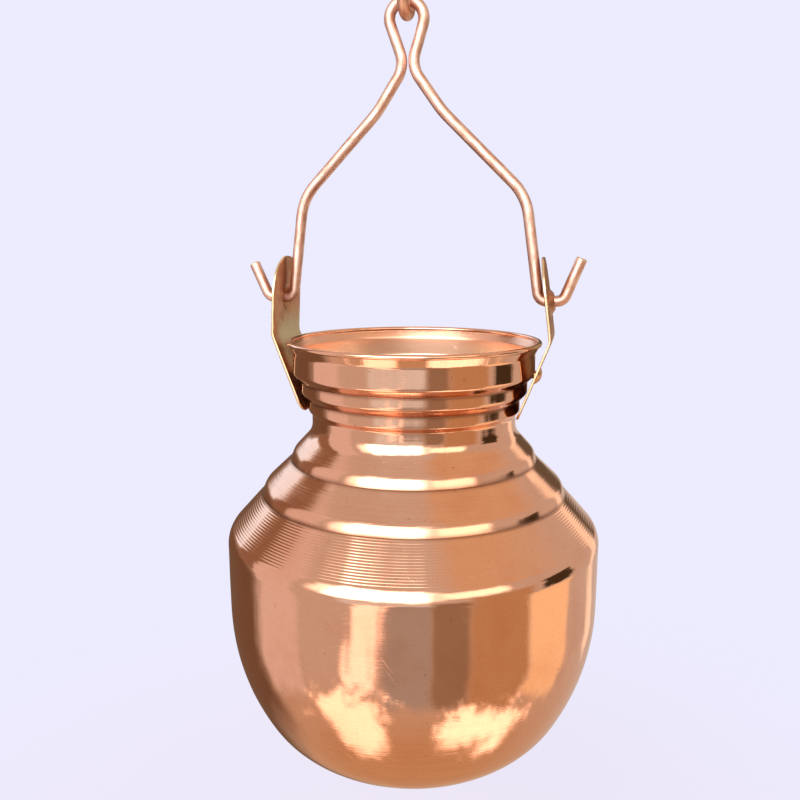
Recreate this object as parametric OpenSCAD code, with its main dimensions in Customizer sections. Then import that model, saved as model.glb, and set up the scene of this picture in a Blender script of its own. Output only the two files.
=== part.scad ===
// Hanging copper vessel for a drip offering, in millimetres.
// Origin at the point where the hanging hook rests on its support, +Z up, the two ears on the X axis.

/* [Sheet copper] */
// Gauge of the sheet that both halves of the pot are made of
sheet_t = 0.9; // [0.6:0.1:1.5]
// Length of the bowl's rim that lies inside the shoulder's skirt
lap_h = 4; // [2:0.5:6]
// Room for the braze between rim and skirt
lap_gap = 0.05; // [0.02:0.01:0.1]

/* [Lip and neck] */
// Diameter of the collar under the lip
collar_d = 90.4; // [80:0.2:100]
// How far the lip stands out from the collar
flare_out = 2.3; // [1.5:0.1:4]
// Height of the flared lip
flare_h = 4.6; // [4:0.1:7]
// Thickness of the rolled edge of the lip
bead_d = 1.8; // [1.6:0.1:2.4]
// Height of the collar's upright face
collar_face = 7.6; // [6:0.1:10]
// Height of the upright face of each band under the collar
band_face = 4.2; // [3.4:0.1:6]
// How far each band stands in from the one above it
band_step = 2.67; // [2:0.01:3.4]
// Rounding of the lower corner of the collar and the bands
band_round = 2; // [1.4:0.1:2.6]
// How far the hollow of the neck stands in from the lowest band
hollow_in = 1.4; // [0.8:0.1:2]
// Height of the hollow of the neck
hollow_h = 6.5; // [6.4:0.1:9]
// Radius of the curve from the hollow to the shoulder
neck_round = 14; // [9:0.5:15]
// How far the flare of the neck runs out
neck_flare_out = 7.1; // [6:0.1:9]
// Height of the flare of the neck
neck_flare_h = 7.6; // [6.5:0.1:9]

/* [Shoulder] */
// Drop of the rolled edge of each step
edge_h = 3.3; // [2.4:0.1:4.2]
// How far the rolled edge of each step runs out as it drops
edge_out = 1.2; // [0.6:0.1:1.8]
// Rounding of the rolled edges
edge_round = 6; // [3:0.5:8]
// How far the middle step of the shoulder runs out
tier_out = 9.75; // [8:0.05:12]
// Height of the middle step of the shoulder
tier_h = 9.2; // [7:0.1:12]
// Height of the turned cone above the belly
cone_h = 14.5; // [12:0.5:18]
// Spacing of the turned grooves on the cone
groove_pitch = 1; // [0.8:0.1:2]
// Depth of the turned grooves
groove_depth = 0.08; // [0.06:0.02:0.24]
// Rounding from the cone into the belly
belly_round = 9; // [6:0.5:14]
// Rounding in the bottom of each notch
notch_round = 0.5; // [0.3:0.1:0.8]
// Length of the upright skirt that laps over the bowl
skirt_h = 7.5; // [7:0.5:12]

/* [Bowl] */
// Diameter of the belly
belly_d = 141.6; // [134:0.2:156]
// Height of the upright part of the belly
belly_h = 27.25; // [20:0.25:40]
// Radius of the side's curve
bowl_side_r = 85; // [75:1:100]
// Angle that the side's curve turns through
bowl_side_a = 29.5; // [20:0.5:36]
// Radius of the curve from the side to the base
bowl_base_r = 38; // [30:1:44]
// Slope of the curve where the shallow base begins
bowl_base_a = 84; // [78:0.5:88]
// Diameter of the drip hole
drip_d = 3; // [2:0.5:5]

/* [Ears] */
// Thickness of the ear straps
ear_t = 1; // [0.8:0.1:1.6]
// Width of the ear straps
ear_w = 28; // [22:0.5:34]
// Height of the ears over the lip
ear_h = 30.5; // [28:0.5:40]
// Height of the bend over the lip
ear_bend_z = 1.3; // [-2:0.1:4]
// Radius of the bend, at the inner face
ear_bend_r = 5; // [3:0.5:8]
// Lean of the left ear's upper part towards the vessel's axis
ear_lean_left = 3; // [0:0.5:8]
// Lean of the right ear's upper part, bent in further by hand
ear_lean_right = 8; // [0:0.5:9]
// Length of strap below the lowest band's corner
ear_tail = 1.4; // [0.5:0.1:3]
// Rounding of the lower corners of the strap
ear_round = 4; // [2:0.5:8]
// Gap between the strap and the corners that it lies on
ear_gap = 0.2; // [0.1:0.05:0.4]
// Height of the drifted holes over the lip
pivot_z = 14.8; // [12:0.2:20]
// Depth of the dish that the drift pushes out round each hole
dish_h = 1.8; // [1.5:0.1:3]
// Diameter of the dish at the face of the strap
dish_d = 10; // [8:0.5:13]
// Thickness of the dish's drawn wall
dish_wall = 0.7; // [0.4:0.1:1]

/* [Rivets] */
// Diameter of the rivet shank
rivet_d = 3; // [2:0.1:4]
// Diameter of the rivet head
rivet_head_d = 6.6; // [5.4:0.2:8]
// Height of the rivet head
rivet_head_h = 1.5; // [1:0.1:2]
// Diameter of the hammered tail inside the neck
rivet_tail_d = 5.4; // [4.6:0.2:6.4]
// Height of the hammered tail
rivet_tail_h = 1.2; // [0.8:0.1:2]
// Radial room round the shank
rivet_gap = 0.05; // [0.02:0.01:0.1]

/* [Bail] */
// Diameter of the bail wire
wire_d = 4; // [3.4:0.1:4.4]
// Radial room of the wire in the drifted holes
wire_gap = 0.3; // [0.2:0.05:0.5]
// Room between the ear and the leg that runs up beside it
leg_gap = 0.4; // [0.3:0.05:1]
// Bend radius at the hooked ends, at the wire's centre
end_round = 3.3; // [3:0.1:4]
// Length of the straight pin that stands out past the left dish
pin_out_left = 2.2; // [0.3:0.1:4]
// Length of the straight pin that stands out past the right dish
pin_out_right = 0.4; // [0.3:0.1:4]
// Height of the left cut end over the pin
tip_h_left = 12.8; // [10:0.2:22]
// Height of the right cut end over the pin
tip_h_right = 15.2; // [10:0.2:22]
// Outward lean of the hooked end
tip_lean = 23; // [10:1:30]
// Height over the pin of the corner where the legs turn in
corner_h = 36.7; // [28:0.1:46]
// Half width across the wire's centres at that corner
corner_x = 41.4; // [36:0.2:44]
// Rounding of that corner
corner_round = 20; // [10:1:26]
// Height over the pin where the run to the eye steepens
upper_h = 66.2; // [58:0.2:74]
// Half width across the wire's centres there
upper_x = 11.9; // [9:0.1:16]
// Rounding there
upper_round = 30; // [16:1:40]
// Height of the pinch over the pin
pinch_h = 83.1; // [79:0.1:92]
// Gap left between the two strands at the pinch
pinch_gap = 0.5; // [0.2:0.1:2]
// Rounding of the pinch
pinch_round = 9.5; // [6:0.5:12]
// Height of the top of the eye over the pin, at the wire's centre
eye_h = 103.1; // [100:0.1:112]
// Spread of each side of the eye from upright
eye_spread = 18.5; // [10:0.5:26]
// Sideways set of the hand-bent eye from the vessel's axis
eye_set = -3.2; // [-6:0.2:6]

/* [Hanging hook] */
// Diameter of the hook wire
hook_d = 4.3; // [3.6:0.1:5]
// Room between the bail's eye and the hook
eye_gap = 0.2; // [0.1:0.05:0.4]
// Radius of the lower bend, at the wire's centre
hook_low_r = 6; // [5.5:0.1:8]
// Radius of the upper bend, at the wire's centre
hook_top_r = 8; // [6.5:0.5:12]
// Angle that each bend turns through
hook_turn = 240; // [215:5:255]

/* [Hidden] */
$fn = 64;
// Chords in a small rounding, and in each long curve of the bowl
round_n = 6;
curve_n = 14;
// Share of a straight run that the rounding at one of its ends may take
round_share = 0.48;
// Allowance by which a cutter passes the face that it cuts
over = 1;
// A straight of wire runs a little way into the next bend, which is a hair thicker and closes over its end
wire_lap = 0.1;
wire_swell = 0.02;

// Radii down the outside of the pot
collar_r = collar_d / 2;
lip_r = collar_r + flare_out;
band2_r = collar_r - band_step;
band3_r = band2_r - band_step;
neck_r = band3_r - hollow_in;
edge1_r = neck_r + neck_flare_out;
step1_r = edge1_r + edge_out;
edge2_r = step1_r + tier_out;
step2_r = edge2_r + edge_out;
belly_r = belly_d / 2;
lap_r = belly_r - sheet_t - lap_gap;

// Heights down the outside of the pot, from the top of the lip
corner1_z = -flare_h - collar_face;
corner2_z = corner1_z - band_step - band_face;
corner3_z = corner2_z - band_step - band_face;
hollow_z = corner3_z - hollow_in;
neck_z = hollow_z - hollow_h;
edge1_z = neck_z - neck_flare_h;
step1_z = edge1_z - edge_h;
edge2_z = step1_z - tier_h;
step2_z = edge2_z - edge_h;
shoulder_z = step2_z - cone_h;
seam_z = shoulder_z - skirt_h;
side_z = shoulder_z - belly_h;

// The straps lie along the line that the corners of the collar and the bands share
ear_slant = atan2(band_step, band_face + band_step);
ear_normal = [cos(ear_slant), -sin(ear_slant)];
ear_along = [sin(ear_slant), cos(ear_slant)];
corner_centre = [collar_r - band_round, corner1_z + band_round * tan(22.5)];
ear_seat = corner_centre + ear_normal * (band_round + ear_gap);
ear_foot = ear_seat - ear_along * (norm([band3_r - collar_r, corner3_z - corner1_z]) + ear_tail);
bend_x = ear_seat.x + (ear_bend_z - ear_seat.y) * tan(ear_slant);

// Upper part of a strap: its lean, its inner face at a height, and where the drift met that face
function lean(right) = right ? ear_lean_right : ear_lean_left;
function ear_x(right, z) = bend_x - (z - ear_bend_z) * tan(lean(right));
function drift_z(right) = pivot_z - (ear_t + dish_h) * sin(lean(right));

// The drifted hole, and how far its dish stands out from the vessel's axis
hole_r = wire_d / 2 + wire_gap;
function dish_x(right) =
    ear_x(right, drift_z(right)) + (ear_t + dish_h) * cos(lean(right))
    + (hole_r + dish_wall) * sin(lean(right));

// Corners of the bail that follow the ears, and the pinch, before the eye is set to one side
function leg_x(right) = ear_x(right, pivot_z + end_round) - leg_gap - wire_d / 2;
function pin_out(right) = right ? pin_out_right : pin_out_left;
function end_x(right) = dish_x(right) + pin_out(right) + end_round * tan((90 - tip_lean) / 2);
function tip_h(right) = right ? tip_h_right : tip_h_left;
pinch_x = (wire_d + pinch_gap) / 2;
pinch_centre = [pinch_x + pinch_round, pinch_h];
upper = [upper_x, upper_h];
pinch_in =
    atan2(upper_x - pinch_centre.x, pinch_h - upper_h) + asin(pinch_round / norm(pinch_centre - upper));
pinch_half = (pinch_in + eye_spread) / 2;
pinch_skew = (pinch_in - eye_spread) / 2;
pinch = pinch_centre - pinch_round / cos(pinch_half) * [cos(pinch_skew), sin(pinch_skew)];
eye_x = pinch.x + (eye_h - pinch.y) * tan(eye_spread);

// Heights of the hook over the lip, and the point that the whole vessel hangs from
eye_z = pivot_z + eye_h;
hook_low_z = eye_z - (wire_d + hook_d) / 2 - eye_gap;
hook_middle_z = hook_low_z + 2 * hook_low_r;
hang_z = hook_middle_z + 2 * hook_top_r - hook_d / 2;

// Points along the rounding of corner b between a and c, as one list
function round_corner(a, b, c, radius, n) =
    let (
        to_a = (a - b) / norm(a - b),
        to_c = (c - b) / norm(c - b),
        half = acos(to_a * to_c) / 2,
        room = round_share * min(norm(a - b), norm(c - b)),
        rad = min(radius, room * tan(half)),
        centre = b + (to_a + to_c) / norm(to_a + to_c) * rad / sin(half),
        from = b + to_a * rad / tan(half) - centre,
        turn = (180 - 2 * half) * sign(cross(to_c, to_a)),
        start = atan2(from.y, from.x)
    )
    [for (i = [0 : n]) centre + rad * [cos(start + turn * i / n), sin(start + turn * i / n)]];

// A line through corners [x, y, rounding], with every rounded corner as an arc
function rounded(corners) = [
    for (i = [0 : len(corners) - 1])
        let (p = [corners[i].x, corners[i].y], radius = corners[i].z)
        each radius == 0 ? [p] : round_corner(
            [corners[i - 1].x, corners[i - 1].y], p, [corners[i + 1].x, corners[i + 1].y], radius, round_n)
];

// The same line moved sideways by t, to the right of its direction of travel
function beside(line, t) = [
    for (i = [0 : len(line) - 1])
        let (
            before = i == 0 ? line[1] - line[0] : line[i] - line[i - 1],
            after = i == len(line) - 1 ? before : line[i + 1] - line[i],
            side_before = [before.y, -before.x] / norm(before),
            side_after = [after.y, -after.x] / norm(after),
            side = (side_before + side_after) / norm(side_before + side_after)
        )
        line[i] + side * t / (side * side_before)
];

function backwards(line) = [for (i = [len(line) - 1 : -1 : 0]) line[i]];

// Outline of a sheet of thickness t that lies to the right of a line
function sheet_outline(line, t) = concat(line, backwards(beside(line, t)));

// Points of an arc round a centre, from one angle to another
function arc(centre, radius, from, to, n) =
    [for (i = [0 : n]) let (a = from + (to - from) * i / n) centre + radius * [cos(a), sin(a)]];

// The outside of the neck and shoulder, from the lip down to the top of the turned cone
bead_centre = [lip_r - bead_d / 2, -bead_d / 2];
flare_run = [collar_r - sheet_t / 2, -flare_h] - bead_centre;
flare_start = bead_centre + [-flare_run.y, flare_run.x] / norm(flare_run) * sheet_t / 2;
neck_corners = [
    [flare_start.x, flare_start.y, 0],
    [collar_r, -flare_h, band_round],
    [collar_r, corner1_z, band_round],
    [band2_r, corner1_z - band_step, notch_round],
    [band2_r, corner2_z, band_round],
    [band3_r, corner2_z - band_step, notch_round],
    [band3_r, corner3_z, band_round],
    [neck_r, hollow_z, band_round],
    [neck_r, neck_z, neck_round],
    [edge1_r, edge1_z, edge_round],
    [step1_r, step1_z, notch_round],
    [edge2_r, edge2_z, edge_round],
    [step2_r, step2_z, notch_round]
];
skirt_corners = [
    [belly_r, shoulder_z, belly_round],
    [belly_r, seam_z, 0]
];

// Turned grooves, from the top of the cone to where it rounds into the belly
cone_run = [belly_r - step2_r, shoulder_z - step2_z];
cone_along = cone_run / norm(cone_run);
cone_in = [cone_along.y, -cone_along.x];
cone_l = norm(cone_run) - belly_round * tan((90 - atan2(cone_h, belly_r - step2_r)) / 2);
groove_count = floor(cone_l / groove_pitch) - 1;
groove_corners = [
    for (i = [1 : groove_count], side = [-1, 0, 1])
        let (
            down = cone_along * groove_pitch * (i + side / 4),
            depth = side == 0 ? groove_depth : 0,
            p = [step2_r, step2_z] + down + cone_in * depth
        )
        [p.x, p.y, 0]
];
plain_line = rounded(concat(neck_corners, skirt_corners));
turned_line = rounded(concat(neck_corners, groove_corners, skirt_corners));

// The outside of the bowl below the seam: upright belly, side, turn into the base, shallow base
side_centre = [belly_r - bowl_side_r, side_z];
base_centre = side_centre + (bowl_side_r - bowl_base_r) * [cos(bowl_side_a), -sin(bowl_side_a)];
floor_r = (base_centre.x + bowl_base_r * cos(bowl_base_a)) / cos(bowl_base_a);
floor_centre = [0, base_centre.y - (bowl_base_r - floor_r) * sin(bowl_base_a)];
floor_end_a = acos(drip_d / 4 / floor_r);
base_first_a = bowl_side_a + (bowl_base_a - bowl_side_a) / curve_n;
floor_first_a = bowl_base_a + (90 - bowl_base_a) / curve_n;
belly_line = concat(
    arc(side_centre, bowl_side_r, 0, -bowl_side_a, curve_n),
    arc(base_centre, bowl_base_r, -base_first_a, -bowl_base_a, curve_n - 1),
    arc(floor_centre, floor_r, -floor_first_a, -floor_end_a, curve_n - 1)
);

// Moves what is drawn about the vessel's axis and the top of the lip to its place under the hang point
module hung() {
    translate([-eye_set, 0, -hang_z]) children();
}

// Draws a piece on the right side, or its mirror image on the left
module on_side(right) {
    mirror([right ? 0 : 1, 0, 0]) children();
}

// Stands at the centre of the collar's rounded corner and looks out along the rivet
module along_rivet() {
    translate([corner_centre.x, 0, corner_centre.y]) rotate([0, 90 + ear_slant, 0]) children();
}

module rivet_hole() {
    along_rivet()
        translate([0, 0, band_round - sheet_t - over])
            cylinder(h = sheet_t + ear_gap + ear_t + 2 * over, r = rivet_d / 2 + rivet_gap);
}

// Lower half of the pot, its rim set in by one thickness of sheet to lie inside the skirt
module bowl() {
    inside = beside(belly_line, sheet_t);
    rim = [[lap_r, seam_z + lap_h], [lap_r, seam_z], [belly_r, seam_z]];
    rim_inside = [
        [belly_r - sheet_t, seam_z - 2 * sheet_t],
        [lap_r - sheet_t, seam_z - sheet_t],
        [lap_r - sheet_t, seam_z + lap_h]
    ];
    color([0.86, 0.55, 0.40]) hung() difference() {
        rotate_extrude() polygon(concat(rim, belly_line, backwards(inside), rim_inside));
        translate([0, 0, floor_centre.y - floor_r - over]) cylinder(h = sheet_t + 2 * over, d = drip_d);
    }
}

// Upper half of the pot: rolled lip, collar and bands, stepped shoulder, turned cone and skirt
module shoulder_and_neck() {
    color([0.88, 0.58, 0.43]) hung() difference() {
        union() {
            rotate_extrude() polygon(concat(turned_line, backwards(beside(plain_line, sheet_t))));
            rotate_extrude() translate(bead_centre) circle(d = bead_d);
        }
        for (right = [false, true]) on_side(right) rivet_hole();
    }
}

// Outline of a strap as seen along X: round top, square foot with rounded corners
module ear_blank() {
    far = bend_x + ear_t + over;
    top_z = ear_h - ear_w / 2;
    foot_z = ear_foot.y;
    translate([0, 0, top_z]) rotate([0, 90, 0]) cylinder(h = far, d = ear_w);
    translate([0, -ear_w / 2, foot_z + ear_round]) cube([far, ear_w, top_z - foot_z - ear_round]);
    translate([0, ear_round - ear_w / 2, foot_z]) cube([far, ear_w - 2 * ear_round, ear_round + over]);
    for (side = [-1, 1])
        translate([0, side * (ear_w / 2 - ear_round), foot_z + ear_round])
            rotate([0, 90, 0]) cylinder(h = far, r = ear_round);
}

// Stands on the inner face of a strap where the drift was driven, and looks out along it
module along_drift(right) {
    translate([ear_x(right, drift_z(right)), 0, drift_z(right)]) rotate([0, 90 - lean(right), 0]) children();
}

// A strap bent at the lip, with a hole that a drift has dished outwards for the bail's pin
module ear(right) {
    top = [ear_x(right, ear_h + over), ear_h + over];
    foot = ear_foot - ear_along * over;
    face = rounded([[top.x, top.y, 0], [bend_x, ear_bend_z, ear_bend_r], [foot.x, foot.y, 0]]);
    dish_in = ear_t + dish_h - dish_wall;
    dish_slope = (dish_d / 2 - hole_r) / dish_in;
    color([0.66, 0.44, 0.28]) hung() on_side(right) difference() {
        union() {
            intersection() {
                rotate([90, 0, 0])
                    linear_extrude(height = ear_w + 2 * over, center = true)
                        polygon(sheet_outline(face, -ear_t));
                ear_blank();
            }
            along_drift(right) translate([0, 0, ear_t / 2])
                cylinder(h = dish_h + ear_t / 2, r1 = dish_d / 2 + dish_wall, r2 = hole_r + dish_wall);
        }
        along_drift(right) translate([0, 0, -over])
            cylinder(h = dish_in + over, r1 = dish_d / 2 + dish_slope * over, r2 = hole_r);
        along_drift(right) translate([0, 0, -over]) cylinder(h = ear_t + dish_h + 2 * over, r = hole_r);
        rivet_hole();
    }
}

module left_ear() {
    ear(false);
}

module right_ear() {
    ear(true);
}

// What lies outside the neck's inner face round a rivet, to shape the hammered tail
module beyond_inner_face() {
    face = beside(rounded([
        [collar_r, -flare_h, 0],
        [collar_r, corner1_z, band_round],
        [band3_r, corner1_z - 2 * band_step, 0]
    ]), sheet_t);
    far = collar_r + over;
    sector = 30;
    rotate([0, 0, -sector / 2]) rotate_extrude(angle = sector)
        polygon(concat(face, [[far, face[len(face) - 1].y], [far, face[0].y]]));
}

// Round-headed rivet whose tail is hammered down against the inside of the neck
module rivet(right) {
    $fn = 160;
    seat_h = band_round + ear_gap + ear_t;
    tail_h = band_round - sheet_t - rivet_tail_h;
    dome_r = (pow(rivet_head_d / 2, 2) + pow(rivet_head_h, 2)) / (2 * rivet_head_h);
    color([0.80, 0.52, 0.36]) hung() on_side(right) {
        along_rivet() translate([0, 0, tail_h]) cylinder(h = seat_h - tail_h, d = rivet_d);
        along_rivet() intersection() {
            translate([0, 0, seat_h + rivet_head_h - dome_r]) sphere(r = dome_r);
            translate([0, 0, seat_h]) cylinder(h = rivet_head_h + over, d = rivet_head_d + over);
        }
        difference() {
            along_rivet() translate([0, 0, tail_h]) cylinder(h = rivet_tail_h + over, d = rivet_tail_d);
            beyond_inner_face();
        }
    }
}

module left_rivet() {
    rivet(false);
}

module right_rivet() {
    rivet(true);
}

// A bend of round wire about the origin, from one angle on by a turn
module wire_bend(radius, from, turn, d) {
    rotate([0, 0, from]) rotate_extrude(angle = turn) translate([radius, 0]) circle(d = d);
}

// A round wire along corners [x, y, rounding] in the XY plane, as straights and true bends
module wire(corners, d) {
    last = len(corners) - 1;
    function at(i) = [corners[i].x, corners[i].y];
    function toward(i, j) = (at(j) - at(i)) / norm(at(j) - at(i));
    function half(i) = acos(toward(i, i - 1) * toward(i, i + 1)) / 2;
    function room(i) = round_share * min(norm(at(i) - at(i - 1)), norm(at(i) - at(i + 1)));
    function bend(i) = min(corners[i].z, room(i) * tan(half(i)));
    function tangent(i) = i == 0 || i == last ? 0 : bend(i) / tan(half(i));
    for (i = [0 : last - 1]) {
        from = at(i) + toward(i, i + 1) * (tangent(i) - (i == 0 ? 0 : wire_lap));
        run = at(i + 1) + toward(i + 1, i) * (tangent(i + 1) - (i + 1 == last ? 0 : wire_lap)) - from;
        translate(from) rotate([0, 90, atan2(run.y, run.x)]) cylinder(h = norm(run), d = d);
    }
    for (i = [1 : last - 1]) {
        middle = toward(i, i - 1) + toward(i, i + 1);
        centre = at(i) + middle / norm(middle) * bend(i) / sin(half(i));
        turn = 180 - 2 * half(i);
        translate(centre)
            wire_bend(bend(i), atan2(-middle.y, -middle.x) - turn / 2, turn, d + wire_swell);
    }
}

// One wire: cut end, pin through the ear, leg, inward run, pinch and eye, then down the other side
module bail() {
    function half(right) = [
        [end_x(right) + tip_h(right) * tan(tip_lean), tip_h(right), 0],
        [end_x(right), 0, end_round],
        [leg_x(right), 0, end_round],
        [corner_x, corner_h, corner_round],
        [upper_x, upper_h, upper_round],
        [pinch.x, pinch.y, pinch_round],
        [eye_x, eye_h, eye_x]
    ];
    function set_over(p, side) = [side * p.x + eye_set * max(p.y, 0) / eye_h, p.y, p.z];
    path = concat([for (p = half(true)) set_over(p, 1)], [for (p = backwards(half(false))) set_over(p, -1)]);
    color([0.82, 0.56, 0.44]) hung() translate([0, 0, pivot_z]) rotate([90, 0, 0]) wire(path, wire_d);
}

// S-hook across the plane of the bail: two open bends that meet in the middle
module hanging_hook() {
    color([0.72, 0.44, 0.30]) hung() translate([eye_set, 0, hook_middle_z]) rotate([90, 0, 90]) {
        translate([0, -hook_low_r]) wire_bend(hook_low_r, 90, hook_turn, hook_d);
        translate([0, hook_top_r]) wire_bend(hook_top_r, -90, hook_turn, hook_d);
    }
}

bowl();
shoulder_and_neck();
left_ear();
right_ear();
left_rivet();
right_rivet();
bail();
hanging_hook();
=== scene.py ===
import math

import bmesh
import bpy
from mathutils import Matrix, Vector, noise


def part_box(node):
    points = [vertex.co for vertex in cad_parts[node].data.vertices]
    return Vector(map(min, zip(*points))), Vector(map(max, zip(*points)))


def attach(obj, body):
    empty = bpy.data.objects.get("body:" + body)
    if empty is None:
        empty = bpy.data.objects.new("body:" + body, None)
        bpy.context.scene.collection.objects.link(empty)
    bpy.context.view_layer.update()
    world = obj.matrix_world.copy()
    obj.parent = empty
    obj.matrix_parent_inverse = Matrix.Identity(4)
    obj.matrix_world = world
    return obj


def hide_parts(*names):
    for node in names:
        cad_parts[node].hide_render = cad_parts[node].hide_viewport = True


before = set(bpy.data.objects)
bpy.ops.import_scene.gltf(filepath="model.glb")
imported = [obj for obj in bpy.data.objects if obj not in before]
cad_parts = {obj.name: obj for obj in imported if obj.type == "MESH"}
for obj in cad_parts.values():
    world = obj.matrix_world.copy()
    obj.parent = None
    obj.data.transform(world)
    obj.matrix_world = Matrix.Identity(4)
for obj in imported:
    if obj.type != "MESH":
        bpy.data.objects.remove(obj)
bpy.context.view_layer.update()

# Bowl
# The lower half of the pot: a disc of copper sheet pressed over a former, planished and polished.
# Its rim is set in by one gauge to lie inside the skirt of the upper half, where it is brazed. A
# drip hole is drilled through the middle of the domed base.
neck_low, neck_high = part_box("shoulder_and_neck")
pot_x = (neck_low.x + neck_high.x) / 2 * 1000
lip_z = neck_high.z * 1000
gauge = 0.9
belly_r = 70.8
seam_z = -79.24
side_z = -98.99
pot_sides = 216


def turn_points(centre, radius, start, end, step):
    """Points of an arc in mm, from one angle to another in degrees."""
    count = max(1, math.ceil(abs(end - start) / step))
    angles = [math.radians(start + (end - start) * i / count) for i in range(count + 1)]
    return [(centre[0] + radius * math.cos(a), centre[1] + radius * math.sin(a)) for a in angles]


def spaced(line, step):
    """The same line with no two points further apart than step."""
    points = [line[0]]
    for a, b in zip(line, line[1:]):
        count = max(1, math.ceil(math.dist(a, b) / step))
        points += [
            tuple(p + (q - p) * i / count for p, q in zip(a, b)) for i in range(1, count + 1)
        ]
    return [p for i, p in enumerate(points) if i == 0 or math.dist(p, points[i - 1]) > 1e-6]


def beside(line, gap):
    """The line moved by gap to the right of its direction of travel."""
    moved = []
    for i, p in enumerate(line):
        before = Vector(p) - Vector(line[i - 1]) if i else Vector(line[1]) - Vector(p)
        after = Vector(line[i + 1]) - Vector(p) if i < len(line) - 1 else before
        sides = [Vector((d.y, -d.x)).normalized() for d in (before, after)]
        middle = (sides[0] + sides[1]).normalized()
        moved.append(tuple(Vector(p) + middle * gap / middle.dot(sides[0])))
    return moved


def woven(name, rows, closed, marks):
    """A mesh through rings of points in metres, capped at both ends where it isn't closed."""
    crisp_edge = math.radians(40)
    count = len(rows[0])
    last = len(rows) if closed else len(rows) - 1
    faces = []
    for i in range(last):
        here, there = i * count, (i + 1) % len(rows) * count
        for j in range(count):
            k = (j + 1) % count
            faces.append((here + j, here + k, there + k, there + j))
    if not closed:
        faces += [tuple(range(count)), tuple(range(last * count, (last + 1) * count))]
    mesh = bpy.data.meshes.new(name)
    mesh.from_pydata([p for row in rows for p in row], [], faces)
    for key, values in marks.items():
        mesh.attributes.new(key, "FLOAT", "POINT").data.foreach_set("value", values)
    loose = bmesh.new()
    loose.from_mesh(mesh)
    bmesh.ops.recalc_face_normals(loose, faces=loose.faces)
    loose.to_mesh(mesh)
    loose.free()
    mesh.shade_smooth()
    mesh.set_sharp_from_angle(angle=crisp_edge)
    piece = bpy.data.objects.new(name, mesh)
    bpy.context.scene.collection.objects.link(piece)
    return piece


def uneven(angle, z):
    """How far the planished sheet stands out, in mm; the spun neck is truer than the belly."""
    dents, ripples, other_draw = 0.1, 0.055, Vector((7, 3, 1))
    neck_share, neck_end, fade = 0.3, -25, 45
    ring = Vector((math.cos(angle), math.sin(angle), z / fade))
    share = neck_share + (1 - neck_share) * min(1, max(0, (neck_end - z) / fade))
    return share * (dents * noise.noise(ring * 1.9) + ripples * noise.noise(ring * 5 + other_draw))


def turned(name, loop, outer, start, creases):
    """A closed loop of (radius, height) in mm, turned about the pot's axis.

    The loop begins with the outer points and ends with those of the lining. Painted shade marks
    the points near the creases, and the run along the loop is counted from start.
    """
    true_r, crease_shade_core, crease_shade_fade = 20, 0.2, 0.9
    runs = [start]
    for a, b in zip(loop, loop[1:]):
        runs.append(runs[-1] + math.dist(a, b))
    rows = []
    for k in range(pot_sides):
        angle = 2 * math.pi * k / pot_sides
        c, s = math.cos(angle), math.sin(angle)
        row = []
        for r, z in loop:
            r += uneven(angle, z) * min(1, r / true_r)
            row.append(((pot_x + r * c) / 1000, r * s / 1000, (lip_z + z) / 1000))
        rows.append(row)
    inner = [1.0 if i >= outer else 0.0 for i in range(len(loop))]
    # painted shade in the creases: full near each crease and fading out from it
    crease_shade = []
    for p in loop:
        gaps = [math.dist(p, crease) - crease_shade_core for crease in creases]
        crease_shade.append(max([0.0] + [1 - max(0, gap) / crease_shade_fade for gap in gaps]))
    marks = {"run": runs, "inner": inner, "crease_shade": crease_shade}
    return woven(name, rows, True, {key: values * pot_sides for key, values in marks.items()})


class Socket:
    """An output of a shader node. Arithmetic on it adds Math nodes to the same tree."""

    def __init__(self, tree, output):
        self.tree, self.output = tree, output

    def maths(self, operation, first, second):
        return self.tree.node("ShaderNodeMath", {"operation": operation}, {0: first, 1: second})

    def __add__(self, other):
        return self.maths("ADD", self, other)

    def __sub__(self, other):
        return self.maths("SUBTRACT", self, other)

    def __rsub__(self, other):
        return self.maths("SUBTRACT", other, self)

    def __mul__(self, other):
        return self.maths("MULTIPLY", self, other)

    __radd__, __rmul__ = __add__, __mul__


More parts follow.
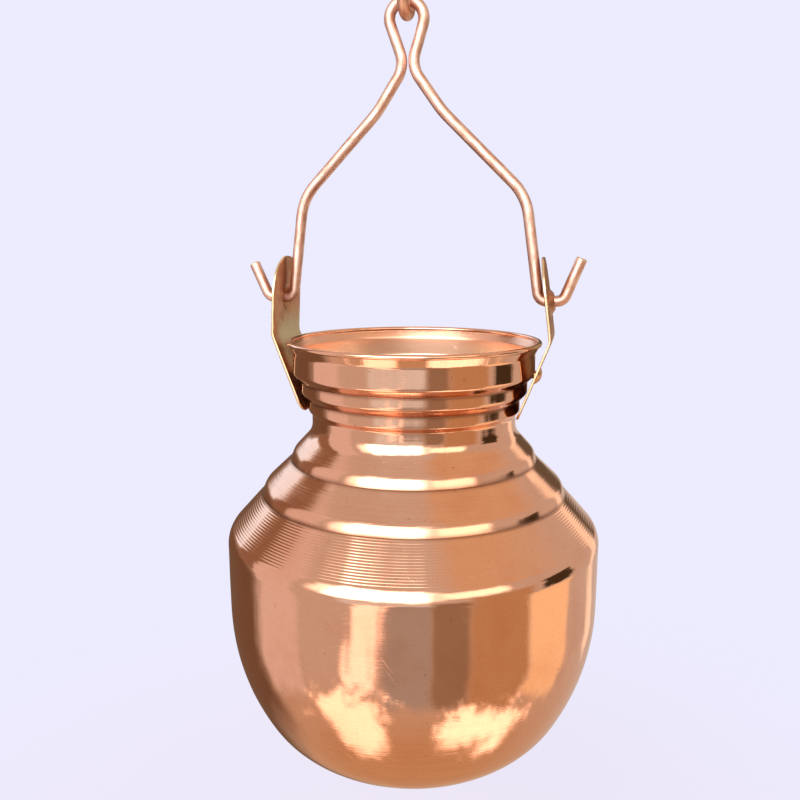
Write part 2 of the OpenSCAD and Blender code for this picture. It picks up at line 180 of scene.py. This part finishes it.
class Tree:
    """The node tree of a material or of the world."""

    def __init__(self, owner):
        owner.use_nodes = True
        self.nodes, self.links = owner.node_tree.nodes, owner.node_tree.links
        self.nodes.clear()

    def node(self, kind, settings=None, sockets=None, out=0):
        """Adds a node: its settings first, then its sockets by name or number.

        Gives one output, a tuple of them, or None.
        """
        made = self.nodes.new(kind)
        for key, value in (settings or {}).items():
            setattr(made, key, value)
        for key, value in (sockets or {}).items():
            named = [s for i, s in enumerate(made.inputs) if s.enabled and key in (i, s.name)]
            if isinstance(value, Socket):
                self.links.new(value.output, named[0])
            elif named[0].type == "RGBA":
                named[0].default_value = (*value, 1)
            else:
                named[0].default_value = value
        if isinstance(out, tuple):
            return tuple(Socket(self, made.outputs[o]) for o in out)
        return None if out is None else Socket(self, made.outputs[out])

    def place(self):
        """Where a point lies on the piece: x, y and z in metres, and all three as one vector."""
        vector = self.node("ShaderNodeTexCoord", out="Object")
        return *self.node("ShaderNodeSeparateXYZ", {}, {0: vector}, ("X", "Y", "Z")), vector

    def mark(self, name):
        return self.node("ShaderNodeAttribute", {"attribute_name": name}, out="Fac")

    def joined(self, x, y, z):
        return self.node("ShaderNodeCombineXYZ", {}, {0: x, 1: y, 2: z})

    def noise(self, vector, scale, detail, rough=0.5):
        sockets = {"Vector": vector, "Scale": scale, "Detail": detail, "Roughness": rough}
        return self.node("ShaderNodeTexNoise", {}, sockets)

    def step(self, value, low, high):
        """0 below low, 1 above high, and smooth between."""
        smooth = {"interpolation_type": "SMOOTHSTEP"}
        return self.node("ShaderNodeMapRange", smooth, {0: value, 1: low, 2: high})

    def mixed(self, share, first, second):
        colour_output = 2
        sockets = {"Factor": share, "A": first, "B": second}
        return self.node("ShaderNodeMix", {"data_type": "RGBA"}, sockets, colour_output)

    def bump(self, height, depth):
        """Height from 0 to 1 as relief of that depth in metres."""
        sockets = {"Strength": 1.0, "Distance": depth, "Height": height}
        return self.node("ShaderNodeBump", {}, sockets)


def metal(name, build):
    """A metal. Build takes its tree and gives colour, roughness, relief and how bare it is."""
    finish = bpy.data.materials.new(name)
    tree = Tree(finish)
    colour, rough, relief, bare = build(tree)
    shader = tree.node("ShaderNodeBsdfPrincipled", {}, {
        "Metallic": bare, "Base Color": colour, "Roughness": rough, "Normal": relief})
    tree.node("ShaderNodeOutputMaterial", {}, {"Surface": shader}, None)
    return finish


def polished(tree):
    """Buffed copper: turning lines, tarnish, scratches, painted crease shade and a satin lining."""
    line_depth = 0.00006
    x, y, z, spot = tree.place()
    run = tree.mark("run")
    lines = tree.noise(tree.joined(x * 25, y * 25, run * 1.7), 1, 3, 0.6)
    fine = tree.noise(tree.joined(x * 40, y * 40, run * 9), 1, 2, 0.7)
    cloud = tree.step(tree.noise(spot, 42, 4, 0.6), 0.45, 0.75)
    specks = tree.step(tree.noise(spot, 520, 2), 0.69, 0.77)
    grain = tree.step(tree.noise(spot, 950, 3, 0.7), 0.3, 0.7)
    rubbed = tree.joined(x * 420 + z * 300, y * 420, z * 35 - x * 30)
    scratch = tree.step(tree.noise(rubbed, 1, 1), 0.7, 0.74)
    inner = tree.mark("inner")
    below_lip = lip_z - z * 1000
    satin = inner * tree.step(below_lip, 0.6, 2.4)
    lining = inner * tree.step(below_lip, 3.0, 9.0)
    # by the run in mm, the foot of the neck and the tier are brushed, and the lower belly is worn
    brushed = tree.step(run, 42.0, 44.0) - tree.step(run, 49.0, 51.0) + tree.step(run, 56.0, 58.0)
    brushed = brushed - tree.step(run, 66.0, 68.0)
    worn = tree.step(run, 135.0, 165.0) * (1 - inner)
    warm = tree.mixed(cloud * 0.55, (0.95, 0.575, 0.405), (0.83, 0.42, 0.27))
    streaks = tree.step(lines, 0.35, 0.7) * (0.06 + brushed * 0.12 + worn * 0.14)
    warm = tree.mixed(grain * 0.14 + streaks, warm, (0.74, 0.35, 0.22))
    warm = tree.mixed(lining, warm, (0.98, 0.76, 0.60))
    colour = tree.mixed(specks * (0.4 - inner * 0.4), warm, (0.52, 0.24, 0.15))
    # painted shade: the creases are darkened as if shadowed, and made a little rougher
    crease_shade = tree.mark("crease_shade") * (0.45 + cloud * 0.3 + lines * 0.5)
    colour = tree.mixed(crease_shade, colour, (0.26, 0.11, 0.06))
    rough = 0.035 + cloud * 0.05 + fine * 0.02 + scratch * 0.12
    rough = rough + specks * 0.1 + satin * 0.26 + crease_shade * 0.25
    ridges = tree.noise(tree.joined(x * 16, y * 16, run * 0.8), 1, 2, 0.6)
    marks = (lines * 0.75 + fine * 0.25) * (0.2 + brushed * 0.8 + worn * 0.2) + ridges * worn * 0.55
    return colour, rough, tree.bump(marks, line_depth), 1.0


pot_copper = metal("polished_copper", polished)
side_r, side_turn = 85, 29.5
base_r, base_slope = 38, 84
drip_r = 1.5
lap, lap_gap = 4, 0.05
bowl_run = 110
side_centre = (belly_r - side_r, side_z)
turn = math.radians(side_turn)
base_centre = (
    side_centre[0] + (side_r - base_r) * math.cos(turn),
    side_z - (side_r - base_r) * math.sin(turn),
)
slope = math.radians(base_slope)
floor_r = (base_centre[0] + base_r * math.cos(slope)) / math.cos(slope)
floor_centre = (0, base_centre[1] - (base_r - floor_r) * math.sin(slope))
floor_end = -math.degrees(math.acos(drip_r / floor_r))
outside = [(belly_r, seam_z)]
outside += turn_points(side_centre, side_r, 0, -side_turn, 1)
outside += turn_points(base_centre, base_r, -side_turn, -base_slope, 1)
outside += turn_points(floor_centre, floor_r, -base_slope, floor_end, 0.5)
outside = spaced(outside, 1.2)
inside = beside(outside, gauge)
inside = [(max(r, drip_r), z) for r, z in reversed(inside) if z < seam_z - 2 * gauge]
lap_r = belly_r - gauge - lap_gap
rim = [(lap_r - gauge, seam_z - gauge), (lap_r - gauge, seam_z + lap)]
rim += [(lap_r, seam_z + lap), (lap_r, seam_z)]
bowl = turned("bowl_shell", outside + inside + rim, len(outside), bowl_run, [])
bowl.data.materials.append(pot_copper)
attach(bowl, "vessel")
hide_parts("bowl")

# Shoulder and neck
# The upper half of the pot, spun from copper sheet: a flared lip with a rolled edge, a collar and
# two bands, a hollow neck, a shoulder in two steps and a cone with turned grooves. Its upright
# skirt laps over the bowl.
collar_r = 45.2
lip_r, flare_h, bead_r = 47.5, 4.6, 0.9
collar_face, band_face, band_step, band_round = 7.6, 4.2, 2.67, 2
hollow_in, hollow_h, neck_round = 1.4, 6.5, 14
neck_flare_out, neck_flare_h = 7.1, 7.6
edge_out, edge_h, edge_round = 1.2, 3.3, 6
tier_out, tier_h = 9.75, 9.2
cone_h, belly_round, notch_round = 14.5, 9, 0.5
groove_pitch, groove_depth = 1, 0.055
plain_start, plain_rest, fine_share = 0.5, 3.5, 0.87
face_step, lining_step = 0.8, 1.6


def rounded(corners, step):
    """A line through corners (r, z, rounding) in mm, with arcs in steps of so many degrees."""
    most_of_side = 0.48
    line = []
    for i, (r, z, radius) in enumerate(corners):
        here = Vector((r, z))
        if not radius:
            line.append((r, z))
            continue
        back, on = Vector(corners[i - 1][:2]) - here, Vector(corners[i + 1][:2]) - here
        room = most_of_side * min(back.length, on.length)
        back, on = back.normalized(), on.normalized()
        half = back.angle(on) / 2
        radius = min(radius, room * math.tan(half))
        centre = here + (back + on).normalized() * radius / math.sin(half)
        begin = here + back * radius / math.tan(half) - centre
        start = math.degrees(math.atan2(begin.y, begin.x))
        sweep = (180 - 2 * math.degrees(half)) * math.copysign(1, on.x * back.y - on.y * back.x)
        line += turn_points(centre, radius, start, start + sweep, step)
    return line


def grooved(line, start, end):
    """The line with shallow grooves turned into it between two runs, counted from its own start."""
    cut, run = [], 0
    for i, p in enumerate(line):
        run += math.dist(p, line[i - 1]) if i else 0
        if start < run < end:
            ahead = Vector(line[i + 1]) - Vector(line[i - 1])
            inward = Vector((ahead.y, -ahead.x)).normalized()
            angle = 2 * math.pi * (run - start) / groove_pitch
            depth = groove_depth * (0.5 - 0.5 * math.cos(angle))
            p = tuple(Vector(p) + inward * depth)
        cut.append(p)
    return cut


z = -flare_h - collar_face
r = collar_r
flare_top = Vector((lip_r - bead_r, -bead_r))
flare_down = (Vector((collar_r - gauge / 2, -flare_h)) - flare_top).normalized()
flare_side = Vector((-flare_down.y, flare_down.x))
reach = math.sqrt(bead_r ** 2 - (gauge / 2) ** 2)
bead_end = [math.degrees(math.atan2(p.y, p.x)) for p in (
    flare_down * reach - flare_side * gauge / 2, flare_down * reach + flare_side * gauge / 2)]
bead = turn_points(flare_top, bead_r, bead_end[0] % 360, bead_end[1] % 360 - 360, 12)
neck_corners = [(*bead[-1], 0), (collar_r, -flare_h, band_round)]
for band in range(3):
    neck_corners.append((r, z, band_round))
    if band < 2:
        r, z = r - band_step, z - band_step
        neck_corners.append((r, z, notch_round))
        z -= band_face
neck_corners.append((r - hollow_in, z - hollow_in, band_round))
r, z = r - hollow_in, z - hollow_in - hollow_h
neck_corners.append((r, z, neck_round))
for out, down in ((neck_flare_out, neck_flare_h), (tier_out, tier_h)):
    r, z = r + out, z - down
    neck_corners.append((r, z, edge_round))
    r, z = r + edge_out, z - edge_h
    neck_corners.append((r, z, notch_round))
cone_z = z
neck_corners += [(belly_r, z - cone_h, belly_round), (belly_r, seam_z, 0)]
skin = rounded(neck_corners, 5)
banded = spaced([p for p in skin if p[1] >= cone_z], face_step)
cone = spaced(banded[-1:] + [p for p in skin if p[1] < cone_z], groove_pitch / 6)
grooves = round(math.hypot(belly_r - r, cone_h) - plain_rest)
cone = grooved(cone, plain_start, plain_start + groove_pitch * grooves)
skirt_z = cone_z - fine_share * cone_h
cone = [p for p in cone if p[1] > skirt_z]
skirt = [p for p in spaced(skin, face_step) if p[1] <= skirt_z]
lining = list(reversed(beside(spaced(skin, lining_step), gauge)))
face = bead[:-1] + banded + cone[1:] + skirt
creases = [corner[:2] for corner in neck_corners if corner[2] == notch_round]
neck = turned("neck_shell", face + lining[:-1], len(face), 0, creases)
neck.data.materials.append(pot_copper)
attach(neck, "vessel")
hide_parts("shoulder_and_neck")

# Ears
# Two straps snipped from plain copper sheet, round at the top and bent at the lip to lie along the
# corners of the collar and bands. A drift has dished the hole for the bail outwards, and the cut
# edges are left bright.
ear_t, ear_w, ear_h = 1, 28, 30.5
ear_bend_z, ear_bend_r = 1.3, 5
ear_lean = {-1: math.radians(3), 1: math.radians(8)}
ear_gap, ear_tail, ear_round = 0.2, 1.4, 4
pivot_z, hole_r, dish_h, dish_r, dish_wall = 14.8, 2.3, 1.8, 5, 0.7
edge_burr, snip_depth, hole_wander, sheet_wave = 0.22, 0.16, 0.12, 0.05
ear_slant = math.atan2(band_step, band_face + band_step)
ear_out = Vector((math.cos(ear_slant), -math.sin(ear_slant)))
ear_down = Vector((-math.sin(ear_slant), -math.cos(ear_slant)))
corner_rise = band_round * math.tan(math.radians(22.5))
corner_centre = Vector((collar_r - band_round, -flare_h - collar_face + corner_rise))
ear_seat = corner_centre + ear_out * (band_round + ear_gap)
ear_foot = ear_seat + ear_down * (2 * math.hypot(band_step, band_step + band_face) + ear_tail)
bend_x = ear_seat.x + (ear_bend_z - ear_seat.y) * math.tan(ear_slant)


def leant_x(side, z):
    """Inner face of a strap's upper part, from the pot's axis; side is -1 left and 1 right."""
    return bend_x - (z - ear_bend_z) * math.tan(ear_lean[side])


ear_face = {}
for side in (-1, 1):
    corners = [(leant_x(side, ear_h + 1), ear_h + 1, 0), (bend_x, ear_bend_z, ear_bend_r)]
    ear_face[side] = rounded(corners + [(*(ear_foot + ear_down), 0)], 2)


def ear_x(side, z):
    """Inner face of a strap at any height."""
    for (x0, z0), (x1, z1) in zip(ear_face[side], ear_face[side][1:]):
        if z >= z1:
            break
    return x0 + (x1 - x0) * (z - z0) / (z1 - z0)


def dished(distance, outer):
    """How far the drift has pushed the sheet out at a distance from the middle of the hole."""
    near, far, push = hole_r, dish_r + 0.3, dish_h + ear_t - dish_wall
    if outer:
        near, far, push = hole_r + dish_wall, dish_r + 0.9, dish_h
    u = min(1, max(0, (far - distance) / (far - near)))
    return push * u * u * (1.7 - 0.7 * u)


def strap(name, side):
    """One ear as a sheet with two faces and a cut edge, in rays from the hole to its outline."""
    outline = turn_points((0, ear_h - ear_w / 2), ear_w / 2, 180, 0, 4)
    for turn, y in ((0, ear_w / 2 - ear_round), (-90, ear_round - ear_w / 2)):
        outline += turn_points((y, ear_foot.y + ear_round), ear_round, turn, turn - 90, 10)
    outline = spaced(outline + outline[:1], 1)[:-1]
    flat_steps = 18
    lift = math.sin(ear_lean[side])
    drift_z = pivot_z - (ear_t + dish_h) * lift
    rows, inner, cut = [], [], []
    for q in outline:
        ray = Vector((q[0], q[1] - drift_z))
        snip = snip_depth * noise.noise(Vector((q[0] / 5, q[1] / 5, 3 * side)))
        reach = ray.length + snip - snip_depth
        ray.normalize()
        hole = hole_r + hole_wander * noise.noise(Vector((ray.x * 2.2, ray.y * 2.2, 9 * side)))
        stations = [hole, 2.6, 2.9, 3.3, 3.8, 4.4, 5, 5.6, 6.4, 7.4]
        flat = reach - edge_burr - stations[-1]
        stations += [stations[-1] + flat * k / flat_steps for k in range(1, flat_steps + 1)]
        loop = [(r, 0, 0) for r in stations]
        loop += [(reach, edge_burr, 1), (reach, ear_t - edge_burr, 1)]
        loop += [(r, ear_t, 0) for r in reversed(stations)]
        row = []
        for r, depth, edge in loop:
            y, z = ray.x * r, drift_z + ray.y * r
            out = depth + dished(r, depth > ear_t / 2)
            wave = sheet_wave * noise.noise(Vector((y / 9, z / 9, 5 * side)))
            x = ear_x(side, z) + out + wave
            z += out * lift * min(1, max(0, (z - ear_bend_z) / ear_bend_r))
            row.append(((pot_x + side * x) / 1000, y / 1000, (lip_z + z) / 1000))
            inner.append(1.0 if depth < ear_t / 2 else 0.0)
            cut.append(float(edge))
        rows.append(row)
    return woven(name, rows, True, {"inner": inner, "cut": cut})


def snipped_sheet(tree):
    """Dull brown sheet with rolling streaks, green bloom inside by the lip and bright edges."""
    streak_depth = 0.00004
    x, y, z, spot = tree.place()
    streaks = tree.noise(tree.joined(x * 220, y * 520, z * 60), 1, 3, 0.6)
    cloud = tree.noise(spot, 130, 4, 0.6)
    height = z * 1000 - lip_z
    inner, cut = tree.mark("inner"), tree.mark("cut")
    bloom = tree.step(height, -18.0, -9.0) * (1 - tree.step(height, 3.0, 14.0))
    bloom = bloom * tree.step(y * 1000, -13.0, -6.0) * inner
    bloom = bloom * tree.step(tree.noise(spot, 260, 4, 0.65) - height * 0.012, 0.15, 0.45)
    brown = tree.mixed(tree.step(cloud, 0.3, 0.7), (0.42, 0.20, 0.10), (0.62, 0.34, 0.19))
    brown = tree.mixed(tree.step(streaks, 0.5, 0.75) * 0.4, brown, (0.40, 0.22, 0.11))
    bared = tree.mixed(tree.step(cut, 0.35, 0.8), brown, (0.96, 0.74, 0.46))
    colour = tree.mixed(bloom * 0.95, bared, (0.58, 0.56, 0.36))
    rough = 0.3 + streaks * 0.15 + bloom * 0.35 - cut * 0.1
    relief = tree.bump(streaks * 0.5 + cloud * 0.5, streak_depth)
    return colour, rough, relief, 1 - bloom * 0.9


ear_copper = metal("sheet_copper", snipped_sheet)
for name, side in (("left", -1), ("right", 1)):
    ear = strap(name + "_strap", side)
    ear.data.materials.append(ear_copper)
    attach(ear, "vessel")
    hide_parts(name + "_ear")

# Rivets
# A round-headed copper rivet holds each ear to the lower corner of the collar. Its tail is
# hammered down against the inside of the neck.
rivet_r, head_r, head_h, tail_t = 1.5, 3.3, 1.5, 1.2
rivet_sides, hammer_dent = 40, 0.06
tail_h = band_round - gauge - tail_t
seat_h = band_round + ear_gap + ear_t
dome_r = (head_r ** 2 + head_h ** 2) / (2 * head_h)
dome_half = math.degrees(math.asin(head_r / dome_r))
rivet_line = [(0.3, tail_h), (1.4, tail_h - 0.05), (2.3, tail_h)]
rivet_line += [(2.7, tail_h + 0.3), (2.6, tail_h + 0.7), (rivet_r, tail_h + 1.3)]
rivet_line += [(rivet_r, seat_h - 0.12), (head_r, seat_h - 0.1)]
rivet_line += turn_points((0, seat_h + head_h - dome_r), dome_r, 90 - dome_half, 87, 6)


def hammered(name, side):
    """One rivet along its own axis, its head and tail a little flattened by the hammer."""
    rows = []
    for r, along in rivet_line:
        row = []
        for j in range(rivet_sides):
            turn = 2 * math.pi * j / rivet_sides
            c, s = math.cos(turn), math.sin(turn)
            flat = hammer_dent * noise.noise(Vector((c * r, s * r, 4 * side + along)) * 0.7)
            spot = corner_centre + ear_out * (along + flat) - ear_down * r * s
            row.append(((pot_x + side * spot.x) / 1000, r * c / 1000, (lip_z + spot.y) / 1000))
        rows.append(row)
    return woven(name, rows, False, {})


def hammered_copper(tree):
    """Copper with small hammer facets and brown stains."""
    facet_depth = 0.00006
    *_, spot = tree.place()
    facets = tree.node("ShaderNodeTexVoronoi", {}, {"Vector": spot, "Scale": 900.0}, "Distance")
    stain = tree.noise(spot, 400, 3)
    colour = tree.mixed(tree.step(stain, 0.4, 0.7), (0.82, 0.48, 0.29), (0.52, 0.28, 0.15))
    return colour, 0.2 + stain * 0.2, tree.bump(facets, facet_depth), 1.0


rivet_copper = metal("rivet_copper", hammered_copper)
for name, side in (("left", -1), ("right", 1)):
    rivet = hammered(name + "_rivet_head", side)
    rivet.data.materials.append(rivet_copper)
    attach(rivet, "vessel")
    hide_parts(name + "_rivet")

# Bail
# One length of drawn copper wire, bent cold round a former: an upturned end and a pin through each
# ear, a leg, a run inwards, and a pinch that closes the eye at the top. The drawing lines and the
# dull grip of the tools are left on it.
wire_d, wire_bow = 4, 0.12
leg_gap, end_round, tip_lean = 0.4, 3.3, math.radians(23)
pin_out, tip_h = {-1: 2.2, 1: 0.4}, {-1: 12.8, 1: 15.2}
corner_x, corner_h, corner_round = 41.4, 36.7, 20
upper_x, upper_h, upper_round = 11.9, 66.2, 30
pinch_h, pinch_gap, pinch_round = 83.1, 0.5, 9.5
eye_h, eye_spread, eye_set = 103.1, math.radians(18.5), -3.2
pinch_centre = Vector(((wire_d + pinch_gap) / 2 + pinch_round, pinch_h))
pinch_in = math.atan2(upper_x - pinch_centre.x, pinch_h - upper_h)
pinch_in += math.asin(pinch_round / math.dist(pinch_centre, (upper_x, upper_h)))
pinch_skew = (pinch_in - eye_spread) / 2
pinch_reach = pinch_round / math.cos((pinch_in + eye_spread) / 2)
pinch = pinch_centre - pinch_reach * Vector((math.cos(pinch_skew), math.sin(pinch_skew)))
eye_x = pinch.x + (eye_h - pinch.y) * math.tan(eye_spread)
bail_corners = []
for side in (1, -1):
    lean = ear_lean[side]
    drift_x = leant_x(side, pivot_z - (ear_t + dish_h) * math.sin(lean))
    dish_x = drift_x + (ear_t + dish_h) * math.cos(lean) + (hole_r + dish_wall) * math.sin(lean)
    end_x = dish_x + pin_out[side] + end_round * math.tan(math.pi / 4 - tip_lean / 2)
    leg_x = leant_x(side, pivot_z + end_round) - leg_gap - wire_d / 2
    half = [
        (end_x + tip_h[side] * math.tan(tip_lean), tip_h[side], 0),
        (end_x, 0, end_round),
        (leg_x, 0, end_round),
        (corner_x, corner_h, corner_round),
        (upper_x, upper_h, upper_round),
        (*pinch, pinch_round),
        (eye_x, eye_h, eye_x),
    ]
    half = [(side * x + eye_set * max(h, 0) / eye_h, h, turn) for x, h, turn in half]
    bail_corners += half if side > 0 else half[::-1]


def bent_wire(name, path, flat, d):
    """A round wire along points in mm, all in one plane, its ends cut square and filed."""
    wire_sides, filed, last = 28, 0.35, len(path) - 1
    runs = [0]
    for a, b in zip(path, path[1:]):
        runs.append(runs[-1] + math.dist(a, b))
    # each a point of the path, a slip along it, a share of the radius, and how far it is filed bare
    stations = [(0, 0.0, 0.35, 1), (0, 0.0, 0.78, 1), (0, filed, 1, 0.6)]
    stations += [(i, 0.0, 1, 0) for i in range(1, last)]
    stations += [(last, -filed, 1, 0.6), (last, 0.0, 0.78, 1), (last, 0.0, 0.35, 1)]
    rows, marks = [], {"run": [], "side": [], "face": [], "cut": []}
    for i, slip, share, cut in stations:
        ahead = (path[min(i + 1, last)] - path[max(i - 1, 0)]).normalized()
        across = ahead.cross(flat)
        row = []
        for j in range(wire_sides):
            turn = 2 * math.pi * j / wire_sides
            arm = across * math.cos(turn) + flat * math.sin(turn)
            row.append((path[i] + ahead * slip + arm * d / 2 * share) / 1000)
            for key, value in zip(marks, (runs[i] + slip, math.cos(turn), math.sin(turn), cut)):
                marks[key].append(value)
        rows.append(row)
    return woven(name, rows, False, marks)


def drawn_copper(dark, bright):
    """Satin wire between two colours: long drawing lines, handling marks and pale cut ends."""
    line_depth = 0.00003

    def build(tree):
        run, side, face, cut = (tree.mark(key) for key in ("run", "side", "face", "cut"))
        lines = tree.noise(tree.joined(side * 4, face * 4, run * 0.05), 1, 1)
        marks = tree.noise(tree.joined(side * 1.2, face * 1.2, run * 0.2), 1, 2)
        colour = tree.mixed(tree.step(marks, 0.35, 0.7), bright, dark)
        colour = tree.mixed(tree.step(lines, 0.55, 0.8) * 0.35, colour, dark)
        colour = tree.mixed(cut, colour, (0.95, 0.76, 0.56))
        relief = tree.bump(lines * 0.7 + marks * 0.3, line_depth)
        return colour, 0.34 + marks * 0.2, relief, 1.0

    return build


wire_copper = metal("wire_copper", drawn_copper((0.67, 0.40, 0.32), (0.92, 0.68, 0.59)))
bail_path = []
for x, h in spaced(rounded(bail_corners, 5), 1.2):
    bow = wire_bow * noise.noise(Vector((x / 14, h / 14, 2))) * min(1, max(0, h) / 30)
    bail_path.append(Vector((pot_x + x, bow, lip_z + pivot_z + h)))
bail = bent_wire("bail_wire", bail_path, Vector((0, 1, 0)), wire_d)
bail.data.materials.append(wire_copper)
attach(bail, "bail")
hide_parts("bail")

# Hanging hook
# A double hook of thicker copper wire, darkened by handling. The bail's eye hangs in its lower
# bend, and the upper bend goes over whatever the pot hangs from.
hook_d, eye_gap, hook_low_r, hook_top_r, hook_turn = 4.3, 0.2, 6, 8, 240
hook_middle_z = pivot_z + eye_h - (wire_d + hook_d) / 2 - eye_gap + 2 * hook_low_r
hook_line = list(reversed(turn_points((0, -hook_low_r), hook_low_r, 90, 90 + hook_turn, 6)))
hook_line += turn_points((0, hook_top_r), hook_top_r, -90, hook_turn - 90, 6)[1:]
hook_path = [Vector((pot_x + eye_set, y, lip_z + hook_middle_z + z)) for y, z in hook_line]
hook = bent_wire("hook_wire", hook_path, Vector((1, 0, 0)), hook_d)
hook_copper = metal("hook_copper", drawn_copper((0.57, 0.31, 0.21), (0.88, 0.55, 0.40)))
hook.data.materials.append(hook_copper)
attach(hook, "hook")
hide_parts("hanging_hook")

# Floor and background
# A plain pale sweep, far enough below the hanging pot that only a soft shadow reaches it. It glows,
# least under the pot, to keep one tone with the background, and the copper doesn't mirror it.
pale = (0.846, 0.838, 1.0)
floor_mesh = bpy.data.meshes.new("floor")
far = 6.0
floor_z = -0.42
floor_corners = [(x * far, y * far, floor_z) for x, y in ((-1, -1), (1, -1), (1, 1), (-1, 1))]
floor_mesh.from_pydata(floor_corners, [], [(0, 1, 2, 3)])
floor = bpy.data.objects.new("floor", floor_mesh)
bpy.context.scene.collection.objects.link(floor)
floor_paint = bpy.data.materials.new("floor_paint")
tree = Tree(floor_paint)
x, y, *_ = tree.place()
level = tree.joined(x, y, 0.0)
distance = tree.node("ShaderNodeVectorMath", {"operation": "LENGTH"}, {0: level}, "Value")
matt = tree.node("ShaderNodeBsdfDiffuse", {}, {"Color": pale})
glow = tree.node("ShaderNodeEmission", {}, {"Color": pale, "Strength": 1.0})
shadow_r, open_r, least_glow = 0.05, 0.45, 0.7
glowing = tree.step(distance, shadow_r, open_r) * (1 - least_glow) + least_glow
sweep = tree.node("ShaderNodeMixShader", {}, {0: glowing, 1: matt, 2: glow})
tree.node("ShaderNodeOutputMaterial", {}, {"Surface": sweep}, None)
floor_mesh.materials.append(floor_paint)
floor.visible_glossy = False

# Light
# A soft studio set round the pot, which the polished copper mirrors: a large soft box high in front
# and a small one on its right, pale and warm cards with dark flags between them, and two crumpled
# reflectors on the floor.
camera_turn = math.radians(12.16)
studio = bpy.data.worlds.new("studio")
bpy.context.scene.world = studio
tree = Tree(studio)
direction = tree.node("ShaderNodeTexCoord", out="Generated")
x, y, z = tree.node("ShaderNodeSeparateXYZ", {}, {0: direction}, ("X", "Y", "Z"))
across = x * math.cos(camera_turn) + y * math.sin(camera_turn)
toward = x * math.sin(camera_turn) - y * math.cos(camera_turn)
degrees = 180 / math.pi
bearing = tree.node("ShaderNodeMath", {"operation": "ARCTAN2"}, {0: across, 1: toward}) * degrees
rise = tree.node("ShaderNodeMath", {"operation": "ARCSINE"}, {0: z}) * degrees
# bearing and rise, shaken so that no panel has a ruled edge: lightly, leaning over, or crumpled
torn = (tree.noise(direction, 40, 3, 0.6) - 0.5) * 9
wavy = tree.noise(direction, 7, 4, 0.6) - 0.5
edged = (bearing + torn + wavy * 14, rise + (tree.noise(direction, 9, 3) - 0.5) * 10)
slanting = (bearing + torn * 2 + wavy * 26 - (rise + 25) * 0.5, rise + torn * 2 + wavy * 24)
patchy = (
    bearing + torn * 2 + (tree.noise(direction, 5, 5, 0.7) - 0.5) * 90,
    rise + torn + (tree.noise(direction, 8, 5, 0.7) - 0.5) * 45,
)


def panel(place, left, right, low, high, soft):
    """1 inside a panel of the set, by bearing and rise in degrees, and 0 outside."""

    def past(angle, edge):
        return tree.step(angle, edge - soft, edge + soft)

    wide = past(place[0], left) - past(place[0], right)
    tall = past(place[1], low) - past(place[1], high)
    return wide * tall


ground_tone, wall_tone = (0.59, 0.36, 0.20), (0.63, 0.51, 0.44)
light = tree.mixed(tree.step(rise, -75.0, -20.0), ground_tone, wall_tone)
for place, colour, left, right, low, high, soft in (
    # overhead: a warm card on the right and a pale one in front
    (edged, (0.71, 0.48, 0.31), 30, 125, 36, 80, 8),
    (edged, (0.68, 0.58, 0.52), -60, 24, 44, 74, 9),
    # left: dark flags with a soft strip between them, and a pale card
    (edged, (0.18, 0.10, 0.06), -172, -107, -50, 4, 9),
    (edged, (1.03, 1.16, 1.36), -160, -128, 7, 36, 3),
    (edged, (0.30, 0.17, 0.11), -125, -105, -5, 44, 4),
    (edged, (0.78, 0.62, 0.58), -105, -73, -40, 48, 3),
    # front: a pale card, and under it a dim wall between a leaning strip and a warm flag
    (edged, (0.80, 0.79, 0.78), -41, 10, -17, -3, 3),
    (edged, (0.43, 0.37, 0.34), -18, 11, -46, -13, 3),
    (edged, (0.33, 0.22, 0.15), 11, 33, -46, -2, 3),
    (slanting, (1.95, 1.42, 1.20), -38, -20, -38, -14, 2),
    # the large soft box in front, with its dimmer rim, and a smaller one on the right
    (edged, (2.00, 1.72, 1.55), -62, 16, 7, 40, 7),
    (edged, (4.90, 4.45, 4.21), -51, 7, 2, 45, 5),
    (edged, (2.20, 1.84, 1.50), 17, 58, 13, 34, 4),
    # right: warm cards with a dark flag over them, and a soft strip with a flag behind
    (edged, (0.54, 0.32, 0.17), 33, 72, -48, 8, 4),
    (edged, (1.08, 0.77, 0.48), 73, 106, -42, -17, 3),
    (edged, (0.06, 0.04, 0.02), 79, 103, -14, 11, 2),
    (edged, (1.18, 0.93, 0.74), 131, 140, -30, 26, 2),
    (edged, (0.15, 0.11, 0.07), 142, 178, -4, 30, 2),
    # floor: two crumpled warm reflectors
    (patchy, (2.15, 1.56, 1.22), -70, -22, -72, -40, 4),
    (patchy, (2.30, 1.70, 1.32), 26, 86, -66, -48, 4),
):
    light = tree.mixed(panel(place, left, right, low, high, soft), light, colour)
seen = tree.node("ShaderNodeLightPath", out="Is Camera Ray")
shown = tree.mixed(seen, light, pale)
sky = tree.node("ShaderNodeBackground", {}, {"Color": shown, "Strength": 1.0})
tree.node("ShaderNodeOutputWorld", {}, {"Surface": sky}, None)

# Camera
# Close in front and a little to the right of the pot, just above the level of the lip and looking
# down on it. The focal length and the shift are in pixels of the picture, and the stand in mm.
image = 800
focal = 791.2
stand, height, tilt, roll = 295.8, 33.2, 10.84, 0.17
shift = 14
camera = bpy.data.cameras.new("camera")
camera.sensor_width = 36
camera.lens = focal / image * camera.sensor_width
camera.shift_x = -shift / image
camera.clip_start, camera.clip_end = 0.01, 100
viewer = bpy.data.objects.new("camera", camera)
bpy.context.scene.collection.objects.link(viewer)
camera_x, camera_y = pot_x + stand * math.sin(camera_turn), -stand * math.cos(camera_turn)
viewer.matrix_world = (
    Matrix.Translation(Vector((camera_x, camera_y, lip_z + height)) / 1000)
    @ Matrix.Rotation(camera_turn, 4, "Z")
    @ Matrix.Rotation(math.radians(90 - tilt), 4, "X")
    @ Matrix.Rotation(math.radians(roll), 4, "Z")
)
bpy.context.scene.camera = viewer
bpy.context.scene.view_settings.view_transform = "Standard"
